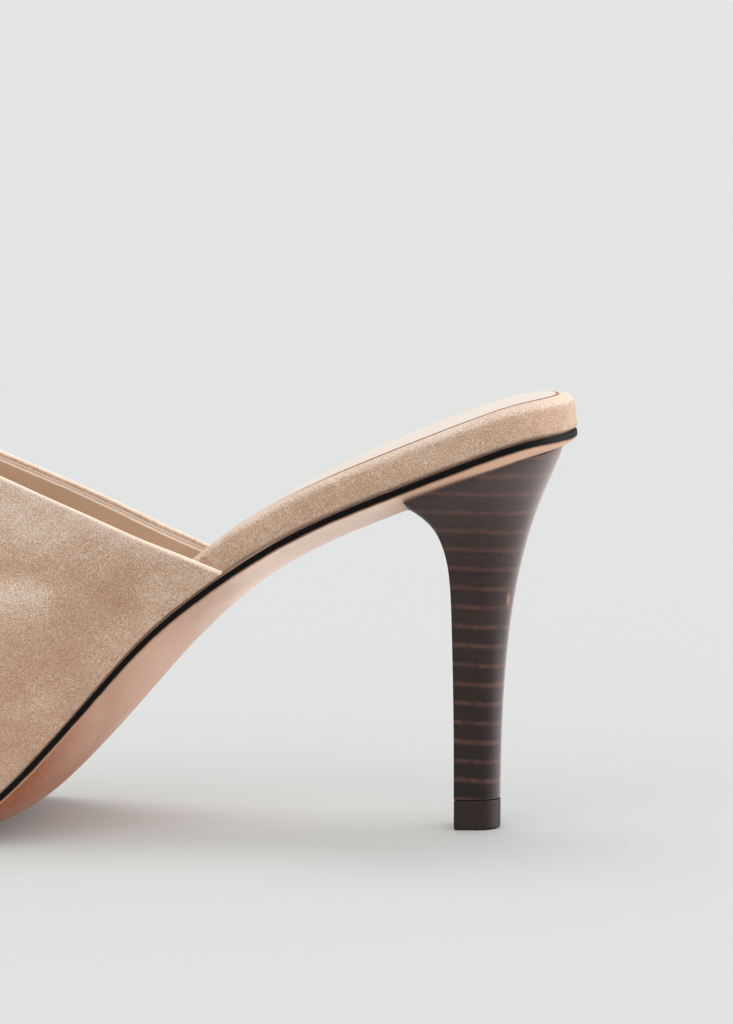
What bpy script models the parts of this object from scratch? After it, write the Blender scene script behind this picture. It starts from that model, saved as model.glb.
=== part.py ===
# Backless heeled sandal (mule), right foot, standing on its heel and forefoot.
# Metres, +Z up. The pieces are worked out with the back edge of the sole at X = 0, the toe towards -X,
# the inner side at -Y and the floor at Z = 0. A parent empty then brings the middle of the box to X = Y = 0.

import math

import bmesh
import bpy
import numpy as np

# Sole
SOLE_LENGTH = 0.216      # back edge to toe tip, along the floor
HEEL_HEIGHT = 0.0854     # floor to the sole's edge at the back
TOE_SPRING = 0.006       # floor to the sole's edge at the toe tip
SEAT_WIDTH = 0.0505
WAIST_WIDTH = 0.047
BALL_WIDTH = 0.080
SEAT_ROUND = 0.025       # length of the round end at the back
TOE_ROUND = 0.034        # length of the round end at the toe
ARCH_LIFT = 0.0042       # the inner edge above the sole's middle line, at the arch
OUTER_LIFT = 0.0012      # the outer edge above it
CROWN = 0.0044           # fullness of the underside below its edges
CROWN_POWER = 2.0        # 2 is an ellipse across, more is squarer
END_POWER = 2.2          # the same for the round ends in plan
SPINE_END = 0.9          # share of a round end at which a layer's spine starts
TREAD_FLAT = 0.0004      # depth to which the tread is pressed flat
OUTSOLE = 0.0019         # thickness of the sole's edge
EDGE_BEVEL = 0.0007      # bevel along its lower side

# Footbed and sock
FOOTBED_BACK = 0.0078    # thickness at the back
FOOTBED_TOE = 0.0056     # thickness at the toe
FOOTBED_ROUND = 0.0024   # radius of its upper edge
FOOTBED_CHAMFER = 0.0006 # its lower edge
SOLE_MARGIN = 0.0003     # bare sole edge outside footbed and upper
DISH = 0.0008            # hollow along the middle of the footbed
SOCK = 0.0010            # thickness of the sock
SOCK_CHAMFER = 0.0003    # its upper edge
SOCK_INSET = 0.0034      # footbed rim left outside the sock
SOCK_PROUD = 0.0001      # sock above the footbed's rim
FOOTBED_STEP = 0.03      # share of the sole's length over which the footbed narrows to go inside the upper

# Upper
WALL = 0.0017            # suede and lining together
INSTEP_HEIGHT = 0.0867   # floor to the top of the throat
VAMP_HEIGHT = 0.0380     # floor to the top of the toe opening
THROAT_ALONG = 0.672     # share of the sole's length at the top of the throat
VAMP_ALONG = 0.852       # the same at the top of the toe opening
THROAT_FOOT = 0.339      # the same where the throat's inner end meets the sole
OUTER_FOOT = 0.344       # the same at its outer end
VAMP_FOOT = 0.775        # the same where the toe opening's ends meet the sole

# Heel
HEEL_INSET = 0.0032      # back of the heel in from the sole's edge
HEEL_SIDE_INSET = 0.0016 # its sides in from it
HEEL_TOP_LENGTH = 0.0333 # fore and aft at the seat
HEEL_HOLLOW = 0.0012     # hollow of the breast between its corners, at the seat
HEEL_SETBACK = 0.0135    # the back line leans this far towards the toe
LIFT_LENGTH = 0.0100
LIFT_WIDTH = 0.0110
LIFT_HEIGHT = 0.0065
LIFT_EDGE = 0.0004       # chamfer of the top lift

CLEARANCE = 0.0003       # between neighbouring pieces
SEAT_CLEARANCE = 0.00033 # between the heel's hollow seat and the outsole

ACROSS = (1.0, 0.7, 0.42, 0.2, 0.07, 0.0)  # rings of a sole layer, as shares of the way in to its spine
END_STEPS = 7
MIDDLE_STEPS = 24
VAMP_STEPS = 27
ARCH_STEPS = 34

# One row a section of the sole, from back to toe. Rise is the height of the sole's middle line, shift its way
# outwards.
SECTION_COLUMNS = ("along", "rise", "shift", "width")
SECTIONS = np.array([
    (0.00, 1.000 * HEEL_HEIGHT, 0.000 * BALL_WIDTH, 1.00 * SEAT_WIDTH),
    (0.05, 0.984 * HEEL_HEIGHT, 0.000 * BALL_WIDTH, 1.00 * SEAT_WIDTH),
    (0.10, 0.942 * HEEL_HEIGHT, 0.000 * BALL_WIDTH, 1.00 * SEAT_WIDTH),
    (0.17, 0.873 * HEEL_HEIGHT, 0.006 * BALL_WIDTH, 0.99 * SEAT_WIDTH),
    (0.24, 0.795 * HEEL_HEIGHT, 0.019 * BALL_WIDTH, 1.03 * WAIST_WIDTH),
    (0.30, 0.712 * HEEL_HEIGHT, 0.034 * BALL_WIDTH, 1.00 * WAIST_WIDTH),
    (0.35, 0.610 * HEEL_HEIGHT, 0.042 * BALL_WIDTH, 1.00 * WAIST_WIDTH),
    (0.40, 0.487 * HEEL_HEIGHT, 0.045 * BALL_WIDTH, 1.06 * WAIST_WIDTH),
    (0.45, 0.342 * HEEL_HEIGHT, 0.041 * BALL_WIDTH, 0.68 * BALL_WIDTH),
    (0.50, 0.200 * HEEL_HEIGHT, 0.031 * BALL_WIDTH, 0.77 * BALL_WIDTH),
    (0.55, 0.077 * HEEL_HEIGHT, 0.019 * BALL_WIDTH, 0.86 * BALL_WIDTH),
    (0.60, 0.011 * HEEL_HEIGHT, 0.009 * BALL_WIDTH, 0.94 * BALL_WIDTH),
    (0.65, 0.000 * HEEL_HEIGHT, 0.000 * BALL_WIDTH, 0.98 * BALL_WIDTH),
    (0.72, 0.000 * TOE_SPRING, -0.010 * BALL_WIDTH, 1.00 * BALL_WIDTH),
    (0.80, 0.090 * TOE_SPRING, -0.028 * BALL_WIDTH, 0.94 * BALL_WIDTH),
    (0.90, 0.450 * TOE_SPRING, -0.052 * BALL_WIDTH, 0.79 * BALL_WIDTH),
    (1.00, 1.000 * TOE_SPRING, -0.070 * BALL_WIDTH, 0.62 * BALL_WIDTH),
])

# The same sections across: inner and outer are the lift of the edges, crown the fullness of the underside.
CROSS_COLUMNS = ("along", "inner", "outer", "crown")
CROSS_SECTIONS = np.array([
    (0.00, 0.0 * ARCH_LIFT, 0.0 * OUTER_LIFT, 0.52 * CROWN),
    (0.05, 0.0 * ARCH_LIFT, 0.0 * OUTER_LIFT, 0.74 * CROWN),
    (0.10, 0.0 * ARCH_LIFT, 0.0 * OUTER_LIFT, 0.92 * CROWN),
    (0.17, 0.0 * ARCH_LIFT, 0.0 * OUTER_LIFT, 1.00 * CROWN),
    (0.24, 0.1 * ARCH_LIFT, -0.2 * OUTER_LIFT, 0.90 * CROWN),
    (0.30, 0.2 * ARCH_LIFT, -0.3 * OUTER_LIFT, 0.80 * CROWN),
    (0.35, 0.5 * ARCH_LIFT, 0.0 * OUTER_LIFT, 0.66 * CROWN),
    (0.40, 0.9 * ARCH_LIFT, 0.3 * OUTER_LIFT, 0.62 * CROWN),
    (0.50, 1.0 * ARCH_LIFT, 0.8 * OUTER_LIFT, 0.58 * CROWN),
    (0.55, 0.9 * ARCH_LIFT, 1.0 * OUTER_LIFT, 0.48 * CROWN),
    (0.60, 0.6 * ARCH_LIFT, 0.9 * OUTER_LIFT, 0.24 * CROWN),
    (0.65, 0.2 * ARCH_LIFT, 0.4 * OUTER_LIFT, 0.05 * CROWN),
    (0.72, 0.0 * ARCH_LIFT, 0.0 * OUTER_LIFT, 0.00 * CROWN),
    (1.00, 0.0 * ARCH_LIFT, 0.0 * OUTER_LIFT, 0.00 * CROWN),
])

# One row an arch of the upper, from the throat to the toe opening. Foot and ridge are shares of the way from
# the throat's values to the toe opening's, square the fullness of the arch, swell its bulge past the sole.
ARCH_COLUMNS = ("foot", "ridge", "drop", "square", "inner_swell", "outer_swell")
ARCHES = np.array([
    (0.00, 0.00, 0.00, 3.3, 0.20, 0.03),
    (0.26, 0.24, 0.28, 2.9, 0.14, 0.03),
    (0.52, 0.49, 0.56, 2.6, 0.07, 0.04),
    (0.77, 0.75, 0.80, 2.4, 0.04, 0.04),
    (1.00, 1.00, 1.00, 2.3, 0.04, 0.04),
])

# One row a level of the heel, from its seat down to the top lift. Back is the share of the setback, breast
# and side are the shares of the way out to the breast and to the width at the seat.
HEEL_COLUMNS = ("down", "back", "breast", "side")
HEEL_LEVELS = np.array([
    (0.000, 0.000, 1.000, 1.000),
    (0.025, 0.060, 0.750, 0.890),
    (0.060, 0.140, 0.480, 0.740),
    (0.110, 0.270, 0.300, 0.570),
    (0.175, 0.420, 0.160, 0.400),
    (0.250, 0.560, 0.085, 0.280),
    (0.340, 0.690, 0.050, 0.190),
    (0.450, 0.810, 0.035, 0.125),
    (0.600, 0.910, 0.015, 0.075),
    (0.800, 0.980, 0.000, 0.025),
    (1.000, 1.000, 0.000, 0.000),
])


def smooth(stations, values, at):
    """The smooth curve through the rows, in cubic pieces."""
    slope = np.gradient(values, stations)
    row = np.clip(np.searchsorted(stations, at, side="right") - 1, 0, len(stations) - 2)
    span = stations[row + 1] - stations[row]
    t = (at - stations[row]) / span
    start = (1 + 2 * t) * (1 - t) ** 2 * values[row] + t * (1 - t) ** 2 * span * slope[row]
    end = t * t * (3 - 2 * t) * values[row + 1] - t * t * (1 - t) * span * slope[row + 1]
    return start + end


def section(name, along):
    return smooth(SECTIONS[:, 0], SECTIONS[:, SECTION_COLUMNS.index(name)], along)


def cross(name, along):
    return smooth(CROSS_SECTIONS[:, 0], CROSS_SECTIONS[:, CROSS_COLUMNS.index(name)], along)


def arch(name, share):
    rows = np.linspace(0.0, 1.0, len(ARCHES))
    return smooth(rows, ARCHES[:, ARCH_COLUMNS.index(name)], share)


def heel_level(name, down):
    return smooth(HEEL_LEVELS[:, 0], HEEL_LEVELS[:, HEEL_COLUMNS.index(name)], down)


# The sole's middle line in side view, finely stepped: its length and its slope
line_along = np.linspace(0.0, 1.0, 801)
line_rise = section("rise", line_along) * (1 + TREAD_FLAT / HEEL_HEIGHT) - TREAD_FLAT
line_slope = np.gradient(line_rise, line_along * SOLE_LENGTH)
line_run = np.concatenate([[0.0], np.cumsum(np.hypot(np.diff(line_along) * SOLE_LENGTH, np.diff(line_rise)))])
sole_run = line_run[-1]


def along_at(run):
    """Share of the sole's length at this distance along its middle line."""
    return np.interp(run, line_run, line_along)


def run_at(along):
    return np.interp(along, line_along, line_run)


def place(along, side, height):
    """Points at this share of the length, this far outwards, and this high square to the sole's line."""
    across = (side - section("shift", along)) / (section("width", along) / 2)
    lift = np.where(across < 0, cross("inner", along), cross("outer", along))
    height = height + lift * np.minimum(across * across, 1.0)
    slope = np.interp(along, line_along, line_slope)
    square = np.sqrt(1 + slope * slope)
    x = along * SOLE_LENGTH - height * slope / square
    z = np.interp(along, line_along, line_rise) + height / square
    return np.stack([-x, side + 0 * x, z], axis=-1)


def round_end(distance, length):
    """Share of the full width at this distance from a round end."""
    left = 1 - np.clip(distance / length, 0.0, 1.0)
    return (1 - left ** END_POWER) ** (1 / END_POWER)


def half_width(run):
    along = along_at(run)
    return section("width", along) / 2 * round_end(run, SEAT_ROUND) * round_end(sole_run - run, TOE_ROUND)


def ring_runs():
    """Distances along the sole's line, closer together in the round ends."""
    turn = 1 - np.cos(np.linspace(0, math.pi / 2, END_STEPS + 1))
    middle = np.linspace(SEAT_ROUND, sole_run - TOE_ROUND, MIDDLE_STEPS + 1)
    return np.concatenate([SEAT_ROUND * turn, middle[1:-1], sole_run - TOE_ROUND * turn[::-1]])


def outline(inset):
    """The sole's outline laid flat, run and side, from the back up the inner side and down the outer one."""
    runs = ring_runs()
    middle = section("shift", along_at(runs))
    half = half_width(runs)
    run = np.concatenate([runs, runs[-2:0:-1]])
    side = np.concatenate([middle - half, (middle + half)[-2:0:-1]])
    ahead_run, ahead_side = np.roll(run, -1) - np.roll(run, 1), np.roll(side, -1) - np.roll(side, 1)
    length = np.hypot(ahead_run, ahead_side)
    inset = inset(along_at(run)) if callable(inset) else inset
    return run - inset * ahead_side / length, side + inset * ahead_run / length


def ring(inset, inwards, height):
    """One ring of a sole layer: the outline set in, moved a share of the way to the spine, at this height."""
    run, side = outline(inset)
    spine = np.clip(outline(0.0)[0], SEAT_ROUND * SPINE_END, sole_run - TOE_ROUND * SPINE_END)
    run = run + (spine - run) * inwards
    along = along_at(run)
    side = side + (section("shift", along) - side) * inwards
    height = height(along, inwards) if callable(height) else height
    return place(along, side, height)


def finish(name, mesh_builder, material, smooth_angle=40):
    """Makes the object, welds its shared points, turns its faces outwards and shades it smooth."""
    bmesh.ops.remove_doubles(mesh_builder, verts=mesh_builder.verts, dist=1e-6)
    bmesh.ops.recalc_face_normals(mesh_builder, faces=mesh_builder.faces)
    mesh = bpy.data.meshes.new(name)
    mesh_builder.to_mesh(mesh)
    mesh_builder.free()
    mesh.shade_smooth()
    mesh.set_sharp_from_angle(angle=math.radians(smooth_angle))
    mesh.materials.append(material)
    piece = bpy.data.objects.new(name, mesh)
    shoe.objects.link(piece)
    piece.parent = stand
    return piece


def stack(rings, closed_ring=True):
    """A surface through rings of as many points each."""
    builder = bmesh.new()
    rows = [[builder.verts.new(point) for point in points] for points in rings]
    count = len(rows[0])
    for low, high in zip(rows, rows[1:]):
        for i in range(count if closed_ring else count - 1):
            j = (i + 1) % count
            builder.faces.new((low[i], low[j], high[j], high[i]))
    return builder


def material(name, colour, roughness, metallic=0.0):
    made = bpy.data.materials.new(name)
    made.use_nodes = True
    shader = made.node_tree.nodes["Principled BSDF"]
    shader.inputs["Base Color"].default_value = (*colour, 1.0)
    shader.inputs["Roughness"].default_value = roughness
    shader.inputs["Metallic"].default_value = metallic
    return made


def underside(along, inwards):
    """Height of the full underside: its edges at nought, its middle lowered by the crown."""
    return -cross("crown", along) * (1 - (1 - inwards) ** CROWN_POWER) ** (1 / CROWN_POWER)


def make_outsole():
    rings = [ring(EDGE_BEVEL, inwards, underside) for inwards in ACROSS]
    rings.append(ring(0.0, 0.0, EDGE_BEVEL))
    rings += [ring(0.0, inwards, OUTSOLE) for inwards in ACROSS[::-1]]
    for points in rings:
        points[:, 2] = np.maximum(points[:, 2], 0.0)
    return finish("outsole", stack(rings), material("sole_leather", (0.47, 0.29, 0.21), 0.55))


def footbed_margin(along):
    """The footbed keeps to the sole's edge behind and before the upper, and inside the upper between."""
    step = np.clip(np.minimum(along - THROAT_FOOT, VAMP_FOOT - along) / FOOTBED_STEP + 1, 0.0, 1.0)
    return SOLE_MARGIN + (WALL + CLEARANCE) * step * step * (3 - 2 * step)


def footbed_top(along, inwards):
    thick = FOOTBED_BACK + (FOOTBED_TOE - FOOTBED_BACK) * along
    return OUTSOLE + CLEARANCE + thick - DISH * (1 - (1 - inwards) ** 2)


def make_footbed():
    base = OUTSOLE + CLEARANCE
    recess = SOCK + CLEARANCE - SOCK_PROUD
    rings = [ring(lambda a: footbed_margin(a) + FOOTBED_CHAMFER, inwards, base) for inwards in ACROSS]
    rings.append(ring(footbed_margin, 0.0, base + FOOTBED_CHAMFER))
    for degrees in (0, 22, 45, 68, 90):
        turn = math.radians(degrees)
        inset = FOOTBED_ROUND * (1 - math.cos(turn))
        down = FOOTBED_ROUND * (1 - math.sin(turn))
        rings.append(ring(lambda a: footbed_margin(a) + inset, 0.0, lambda a, i: footbed_top(a, i) - down))
    rings.append(ring(lambda a: footbed_margin(a) + SOCK_INSET - CLEARANCE, 0.0, footbed_top))
    for inwards in ACROSS[::-1]:
        rings.append(ring(lambda a: footbed_margin(a) + SOCK_INSET - CLEARANCE / 2, inwards,
                          lambda a, i: footbed_top(a, i) - recess))
    return finish("footbed", stack(rings), material("footbed_suede", (0.50, 0.36, 0.27), 0.9))


def make_sock():
    low = CLEARANCE - (SOCK + CLEARANCE - SOCK_PROUD)
    rings = [ring(lambda a: footbed_margin(a) + SOCK_INSET, inwards, lambda a, i: footbed_top(a, i) + low)
             for inwards in ACROSS]
    rings.append(ring(lambda a: footbed_margin(a) + SOCK_INSET, 0.0,
                      lambda a, i: footbed_top(a, i) + SOCK_PROUD - SOCK_CHAMFER))
    rings += [ring(lambda a: footbed_margin(a) + SOCK_INSET + SOCK_CHAMFER, inwards,
                   lambda a, i: footbed_top(a, i) + SOCK_PROUD)
              for inwards in ACROSS[::-1]]
    return finish("sock", stack(rings), material("sock_leather", (0.80, 0.73, 0.65), 0.5))


def evenly(points, count):
    """The line with its points at even distances."""
    step = np.linalg.norm(np.diff(points, axis=0), axis=1)
    run = np.concatenate([[0.0], np.cumsum(step)])
    wanted = np.linspace(0.0, run[-1], count)
    return np.stack([np.interp(wanted, run, points[:, axis]) for axis in range(3)], axis=1)


def sole_edge(along, outwards):
    """A point on the outsole, just inside its edge, where the upper comes down on it."""
    side = section("shift", along) + outwards * (half_width(run_at(along)) - SOLE_MARGIN)
    return place(along, side, OUTSOLE + CLEARANCE)


def arch_line(share):
    """The upper's outer face from the inner edge of the sole over the ridge to the outer edge."""
    ridge = THROAT_ALONG + (VAMP_ALONG - THROAT_ALONG) * arch("ridge", share)
    height = INSTEP_HEIGHT + (VAMP_HEIGHT - INSTEP_HEIGHT) * arch("drop", share)
    top = np.array([-ridge * SOLE_LENGTH, section("shift", ridge), height])
    turn = np.linspace(0.0, math.pi / 2, 120)
    up = np.sin(turn) ** (2 / arch("square", share))
    out = np.cos(turn) ** (2 / arch("square", share))
    halves = []
    sides = ((-1, THROAT_FOOT, arch("inner_swell", share)), (1, OUTER_FOOT, arch("outer_swell", share)))
    for outwards, back_foot, swell in sides:
        low = sole_edge(back_foot + (VAMP_FOOT - back_foot) * arch("foot", share), outwards)
        line = low + (top - low) * up[:, None]
        line[:, 1] = top[1] + (low[1] - top[1]) * out * (1 + 4 * swell * up * (1 - up))
        halves.append(line)
    return evenly(np.concatenate([halves[0], halves[1][-2::-1]]), ARCH_STEPS + 1)


def make_upper():
    rings = [arch_line(share) for share in np.linspace(0.0, 1.0, VAMP_STEPS + 1)]
    upper = finish("upper", stack(rings, closed_ring=False), material("vamp_suede", (0.50, 0.36, 0.27), 0.9))
    wall = upper.modifiers.new("wall", "SOLIDIFY")
    wall.thickness = WALL
    wall.offset = -1.0
    wall.use_even_offset = True
    return upper


def underside_height(x, side):
    """Height of the outsole's underside over a point of the floor plan, behind the ball."""
    along = np.linspace(0.0, 0.4, 161)
    run = run_at(along)
    middle = section("shift", along)
    heights = []
    for px, py in zip(np.ravel(x), np.ravel(side)):
        edge = np.maximum(half_width(run), 1e-6)
        out = np.minimum(np.abs(py - middle) / edge, 1.0)
        end = np.clip(1 - run / (SEAT_ROUND * SPINE_END), 0.0, 1.0)
        inwards = 1 - np.maximum(out, end)
        line = place(along, np.full_like(along, py), underside(along, inwards))
        order = np.argsort(-line[:, 0])
        heights.append(np.interp(-px, -line[order, 0], line[order, 2]))
    return np.reshape(heights, np.shape(x))


def heel_outline(back, breast, half, hollow=0.0):
    """A round back, straight sides and a breast, from the back round the outer side."""
    turn = np.linspace(0.0, math.pi / 2, 8)
    round_x = back + np.minimum(half, breast - back) * (1 - np.cos(turn))
    side_x = np.concatenate([round_x, np.linspace(round_x[-1], breast, 4)[1:]])
    side_y = half * np.concatenate([np.sin(turn), np.ones(3)])
    across = np.linspace(1.0, -1.0, 8)[1:-1]
    x = np.concatenate([side_x, breast - hollow * (1 - across ** 2), side_x[::-1][:-1]])
    y = np.concatenate([side_y, half * across, -side_y[::-1][:-1]])
    return x, y


def heel_ring(down, inwards=0.0):
    """One ring of the heel at a share of its height, moved a share of the way to its middle line."""
    foot_back = HEEL_INSET + HEEL_SETBACK
    foot_breast = foot_back + LIFT_LENGTH
    seat_breast = HEEL_INSET + HEEL_TOP_LENGTH
    seat_half = SEAT_WIDTH / 2 - HEEL_SIDE_INSET
    back = HEEL_INSET + HEEL_SETBACK * heel_level("back", down)
    breast = foot_breast + (seat_breast - foot_breast) * heel_level("breast", down)
    half = LIFT_WIDTH / 2 + (seat_half - LIFT_WIDTH / 2) * heel_level("side", down)
    x, y = heel_outline(back, breast, half, HEEL_HOLLOW * heel_level("breast", down))
    seat_x, seat_y = heel_outline(HEEL_INSET, seat_breast, seat_half, HEEL_HOLLOW)
    x = x + (np.maximum(x, back + min(half, breast - back)) - x) * inwards
    seat_x = seat_x + (np.maximum(seat_x, HEEL_INSET + min(seat_half, HEEL_TOP_LENGTH)) - seat_x) * inwards
    top = underside_height(-seat_x, seat_y * (1 - inwards)) - SEAT_CLEARANCE
    low = LIFT_HEIGHT + CLEARANCE
    return np.stack([-x, y * (1 - inwards), low + (top - low) * (1 - down)], axis=1)


def make_heel():
    levels = np.concatenate([[0.0], np.linspace(0.0, 1.0, 17)[1:] ** 1.6])
    rings = [heel_ring(0.0, inwards) for inwards in (1.0, 0.66, 0.33)]
    rings += [heel_ring(down) for down in levels]
    rings += [heel_ring(1.0, inwards) for inwards in (0.5, 1.0)]
    return finish("heel", stack(rings), material("stacked_leather", (0.045, 0.030, 0.026), 0.45))


def make_top_lift():
    back = HEEL_INSET + HEEL_SETBACK
    breast = back + LIFT_LENGTH
    rings = []
    for edge, height in ((LIFT_EDGE, 0.0), (0.0, LIFT_EDGE), (0.0, LIFT_HEIGHT)):
        x, y = heel_outline(back + edge, breast - edge, LIFT_WIDTH / 2 - edge)
        rings.append(np.stack([-x, y, np.full_like(x, height)], axis=1))
    builder = stack(rings)
    bmesh.ops.holes_fill(builder, edges=builder.edges)
    return finish("top_lift", builder, material("top_lift_rubber", (0.040, 0.027, 0.024), 0.5))


for old in list(bpy.data.objects):
    bpy.data.objects.remove(old, do_unlink=True)
shoe = bpy.data.collections.new("heeled_sandal")
bpy.context.scene.collection.children.link(shoe)
stand = bpy.data.objects.new("sandal_origin", None)
shoe.objects.link(stand)

pieces = [make_outsole(), make_footbed(), make_sock(), make_upper(), make_heel(), make_top_lift()]
bpy.context.view_layer.update()
corners = np.array([piece.matrix_world @ vertex.co for piece in pieces for vertex in piece.data.vertices])
middle_point = (corners.min(axis=0) + corners.max(axis=0)) / 2
stand.location = (-middle_point[0], -middle_point[1], 0.0)
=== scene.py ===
# Backless heeled sandal for a right foot: the dressed model, its floor, light and camera.
# Metres. The toe points to -X, the heel to +X, the inner side to -Y, and the floor is at Z = 0.
import math

import bmesh
import bpy
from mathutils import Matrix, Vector, kdtree


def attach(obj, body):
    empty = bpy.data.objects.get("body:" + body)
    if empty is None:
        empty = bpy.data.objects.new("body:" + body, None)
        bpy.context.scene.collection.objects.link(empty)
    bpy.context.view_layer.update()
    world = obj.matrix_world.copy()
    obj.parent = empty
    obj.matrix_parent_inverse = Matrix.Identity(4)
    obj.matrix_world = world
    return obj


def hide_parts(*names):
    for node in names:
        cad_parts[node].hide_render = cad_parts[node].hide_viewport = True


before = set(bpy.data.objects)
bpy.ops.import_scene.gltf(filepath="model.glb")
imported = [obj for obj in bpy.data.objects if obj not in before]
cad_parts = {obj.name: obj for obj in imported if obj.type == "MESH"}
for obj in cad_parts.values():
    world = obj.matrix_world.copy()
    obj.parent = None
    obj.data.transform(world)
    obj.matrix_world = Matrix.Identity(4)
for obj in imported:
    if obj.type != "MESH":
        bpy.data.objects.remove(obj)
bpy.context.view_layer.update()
scene = bpy.context.scene
print("frame loaded:", len(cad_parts), "solids")


# objects and meshes

def deselectAll():
    if bpy.context.object and bpy.context.object.mode != "OBJECT":
        bpy.ops.object.mode_set(mode="OBJECT")
    bpy.ops.object.select_all(action="DESELECT")


def activate(piece):
    deselectAll()
    piece.select_set(True)
    bpy.context.view_layer.objects.active = piece


# a copy of one of the CAD solids, merged and in quads where two triangles make one
def copyOfSolid(nodeName, pieceName):
    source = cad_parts[nodeName]
    mesh = source.data.copy()
    mesh.materials.clear()
    piece = bpy.data.objects.new(pieceName, mesh)
    scene.collection.objects.link(piece)
    activate(piece)
    if mesh.has_custom_normals:
        bpy.ops.mesh.customdata_custom_splitnormals_clear()
    bpy.ops.object.mode_set(mode="EDIT")
    bpy.ops.mesh.select_all(action="SELECT")
    bpy.ops.mesh.remove_doubles(threshold=1e-5)
    bpy.ops.mesh.normals_make_consistent(inside=False)
    bpy.ops.mesh.tris_convert_to_quads(face_threshold=math.radians(50),
                                       shape_threshold=math.radians(60))
    bpy.ops.object.mode_set(mode="OBJECT")
    return piece


def applyModifier(piece, kind, **settings):
    activate(piece)
    modifier = piece.modifiers.new(kind.lower(), kind)
    for key, value in settings.items():
        setattr(modifier, key, value)
    bpy.ops.object.modifier_apply(modifier=modifier.name)


# rounds the hard edges a little, then subdivides
def smoothFurther(piece, levels, edgeRadius, edgeAngle=35):
    applyModifier(piece, "BEVEL", width=edgeRadius, segments=2, limit_method="ANGLE",
                  angle_limit=math.radians(edgeAngle), harden_normals=False)
    applyModifier(piece, "SUBSURF", levels=levels, render_levels=levels)
    bpy.ops.object.shade_smooth_by_angle(angle=math.radians(50))


def clamped(share):
    return max(0.0, min(1.0, share))


# every piece rides on the one body of the shoe
def finishPiece(piece, slot, *nodes):
    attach(piece, "root")
    if nodes:
        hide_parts(*nodes)


# groups of faces with no edge between them sharper than the angle
def faceRegions(mesh, hardAngle):
    regions, seen = [], set()
    for first in mesh.faces:
        if first.index in seen:
            continue
        seen.add(first.index)
        region, front = [], [first]
        while front:
            face = front.pop()
            region.append(face)
            for edge in face.edges:
                if len(edge.link_faces) == 2 and edge.calc_face_angle(0.0) < hardAngle:
                    for other in edge.link_faces:
                        if other.index not in seen:
                            seen.add(other.index)
                            front.append(other)
        regions.append(region)
    return regions


# the region with the largest area facing up
def mostUpward(regions):
    return max(regions, key=lambda r: sum(f.normal.z * f.calc_area() for f in r))


# the points along a row of edges, in order
def edgeLine(edges):
    neighbours = {}
    for edge in edges:
        a, b = edge.verts
        neighbours.setdefault(a.index, []).append(b.index)
        neighbours.setdefault(b.index, []).append(a.index)
    places = {v.index: v.co.copy() for edge in edges for v in edge.verts}
    ends = [i for i, near in neighbours.items() if len(near) == 1]
    here = ends[0] if ends else min(neighbours)
    line, before = [here], None
    while True:
        onward = [i for i in neighbours[here] if i != before]
        if not onward or onward[0] == line[0]:
            break
        before, here = here, onward[0]
        line.append(here)
    return [places[i] for i in line]


# the smooth curve that the points steer, as a search tree of closely spaced points
def curveTree(points, closed=False):
    guide = beadAlong("guide", points, 0.0, closed=closed)
    spots = [v.co.copy() for v in guide.data.vertices]
    bpy.data.objects.remove(guide)
    fine = []
    for here, onward in zip(spots, spots[1:] + (spots[:1] if closed else [])):
        fine += [here.lerp(onward, k / 6) for k in range(6)]
    tree = kdtree.KDTree(len(fine))
    for index, spot in enumerate(fine):
        tree.insert(spot, index)
    tree.balance()
    return tree


# one value for each vertex, for a material to read
def writeAttribute(piece, name, values):
    layer = piece.data.attributes.new(name, "FLOAT", "POINT")
    layer.data.foreach_set("value", values)


# a round bead on the smooth curve that the points steer; it thins out over the taper at both ends
def beadAlong(name, points, radius, closed=False, sides=3, taper=0.0):
    data = bpy.data.curves.new(name, "CURVE")
    data.dimensions = "3D"
    spline = data.splines.new("NURBS")
    spline.points.add(len(points) - 1)
    for spot, point in zip(spline.points, points):
        spot.co = (*point, 1.0)
        if taper:
            fromEnd = min((point - points[0]).length, (point - points[-1]).length)
            spot.radius = 0.25 + 0.75 * min(1.0, fromEnd / taper)
    spline.order_u = 4
    spline.resolution_u = 4
    spline.use_cyclic_u = closed
    spline.use_endpoint_u = not closed
    data.bevel_depth = radius
    data.bevel_resolution = sides
    data.use_fill_caps = not closed
    bead = bpy.data.objects.new(name, data)
    scene.collection.objects.link(bead)
    activate(bead)
    bpy.ops.object.convert(target="MESH")
    bead = bpy.context.object
    bpy.ops.object.mode_set(mode="EDIT")
    bpy.ops.mesh.select_all(action="SELECT")
    bpy.ops.mesh.remove_doubles(threshold=1e-6)
    bpy.ops.mesh.normals_make_consistent(inside=False)
    bpy.ops.object.mode_set(mode="OBJECT")
    bpy.ops.object.shade_smooth()
    return bead


# materials

def newMaterial(name):
    made = bpy.data.materials.new(name)
    made.use_nodes = True
    return made, made.node_tree, made.node_tree.nodes["Principled BSDF"]


def addNode(tree, kind, inputs=None, **settings):
    made = tree.nodes.new("ShaderNode" + kind)
    for key, value in settings.items():
        setattr(made, key, value)
    for key, value in (inputs or {}).items():
        if isinstance(value, bpy.types.NodeSocket):
            tree.links.new(value, made.inputs[key])
        else:
            made.inputs[key].default_value = value
    return made


def objectPlace(tree):
    return addNode(tree, "TexCoord").outputs["Object"]


def noiseOf(tree, place, scale, detail=2.0, roughness=0.5, distortion=0.0):
    return addNode(tree, "TexNoise", {"Vector": place, "Scale": scale, "Detail": detail,
                                      "Roughness": roughness, "Distortion": distortion}).outputs["Fac"]


def attributeOf(tree, name):
    return addNode(tree, "Attribute", attribute_name=name, attribute_type="GEOMETRY").outputs["Fac"]


def axesOf(tree, place):
    return addNode(tree, "SeparateXYZ", {"Vector": place}).outputs


def stretched(tree, place, scale):
    return addNode(tree, "Mapping", {"Vector": place, "Scale": scale}).outputs["Vector"]


def maths(tree, operation, *values):
    return addNode(tree, "Math", dict(enumerate(values)), operation=operation).outputs[0]


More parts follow.
